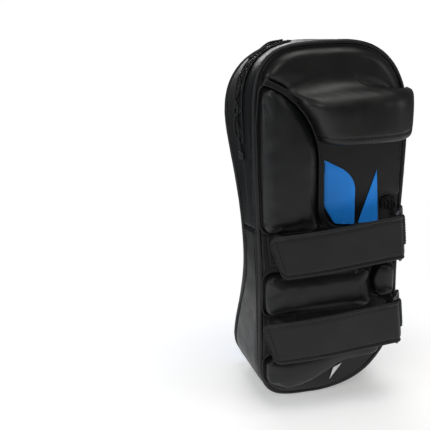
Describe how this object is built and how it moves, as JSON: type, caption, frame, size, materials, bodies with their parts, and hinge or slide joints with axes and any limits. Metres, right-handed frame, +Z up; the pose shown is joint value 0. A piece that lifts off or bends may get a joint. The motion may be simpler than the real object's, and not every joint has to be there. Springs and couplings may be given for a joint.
{
  "type": "thai pad",
  "caption": "Curved striking pad for kick and punch training, with a padded hand grip, forearm cushions, hook-and-loop forearm straps on rings and a laced side closure.",
  "frame": {"origin": "bottom centre of the bounding box, on the floor under the pad's lower end", "axes": "+Z up along the pad's length; -Y out of the striking face; +Y out of the arm side"},
  "size_m": [0.1904, 0.1549, 0.4],
  "materials": {
    "black_leather": "satin",
    "black_leather_soft": "satin",
    "blue_leather": "satin",
    "white_leather": "satin",
    "grey_foam": "matte",
    "dark_foam": "matte",
    "black_webbing": "matte",
    "hook_tape": "matte",
    "nickel_steel": "polished",
    "black_lace": "matte"
  },
  "bodies": {
    "pad": {"backing_foam": "dark_foam", "blue_accent_panel": "blue_leather", "blue_accent_wedge": "blue_leather", "closure_tongue": "black_leather", "core_foam": "grey_foam", "eyelet_front_1": "nickel_steel", "eyelet_front_2": "nickel_steel", "eyelet_front_3": "nickel_steel", "eyelet_front_4": "nickel_steel", "eyelet_front_5": "nickel_steel", "eyelet_front_6": "nickel_steel", "eyelet_rear_1": "nickel_steel", "eyelet_rear_2": "nickel_steel", "eyelet_rear_3": "nickel_steel", "eyelet_rear_4": "nickel_steel", "eyelet_rear_5": "nickel_steel", "eyelet_rear_6": "nickel_steel", "front_cover": "black_leather", "front_lacing_stay": "black_leather", "front_piping": "black_leather", "hand_panel": "black_leather_soft", "handle_cover": "black_leather", "handle_foam": "grey_foam", "lace": "black_lace", "lace_keeper": "black_leather", "lower_cushion_cover": "black_leather", "lower_cushion_foam": "grey_foam", "lower_elastic_anchor": "black_webbing", "lower_gusset": "black_leather", "lower_loop_patch": "hook_tape", "lower_strap_base": "black_webbing", "middle_cushion_cover": "black_leather", "middle_cushion_foam": "grey_foam", "rear_cover": "black_leather_soft", "rear_lacing_stay": "black_leather", "rear_piping": "black_leather_soft", "shock_foam": "dark_foam", "side_cushion_cover": "black_leather", "side_cushion_foam": "grey_foam", "top_panel_cover": "black_leather", "top_panel_foam": "grey_foam", "upper_cushion_cover": "black_leather", "upper_cushion_foam": "grey_foam", "upper_elastic_anchor": "black_webbing", "upper_gusset_front": "black_leather", "upper_gusset_rear": "black_leather_soft", "upper_loop_patch": "hook_tape", "upper_strap_base": "black_webbing", "white_accent": "white_leather"},
    "upper_ring_link": {"upper_ring": "nickel_steel"},
    "upper_tab": {"upper_strap_flap": "black_leather", "upper_hook_patch": "hook_tape"},
    "lower_ring_link": {"lower_ring": "nickel_steel"},
    "lower_tab": {"lower_strap_flap": "black_leather", "lower_hook_patch": "hook_tape"}
  },
  "joints": [
    {"name": "upper_ring_swing", "type": "hinge", "parent": "pad", "child": "upper_ring_link", "pos_m": [-0.0777, 0.0485, 0.1943], "axis": [0.0872, 0, 0.9962], "range_deg": [0, 20]},
    {"name": "upper_tab_peel", "type": "hinge", "parent": "upper_ring_link", "child": "upper_tab", "pos_m": [-0.06674, 0.0655, 0.19334], "axis": [0.0872, 0, 0.9962], "range_deg": [0, 150]},
    {"name": "lower_ring_swing", "type": "hinge", "parent": "pad", "child": "lower_ring_link", "pos_m": [-0.0777, 0.0485, 0.0968], "axis": [0.0872, 0, 0.9962], "range_deg": [0, 20]},
    {"name": "lower_tab_peel", "type": "hinge", "parent": "lower_ring_link", "child": "lower_tab", "pos_m": [-0.06674, 0.0655, 0.09584], "axis": [0.0872, 0, 0.9962], "range_deg": [0, 150]}
  ]
}
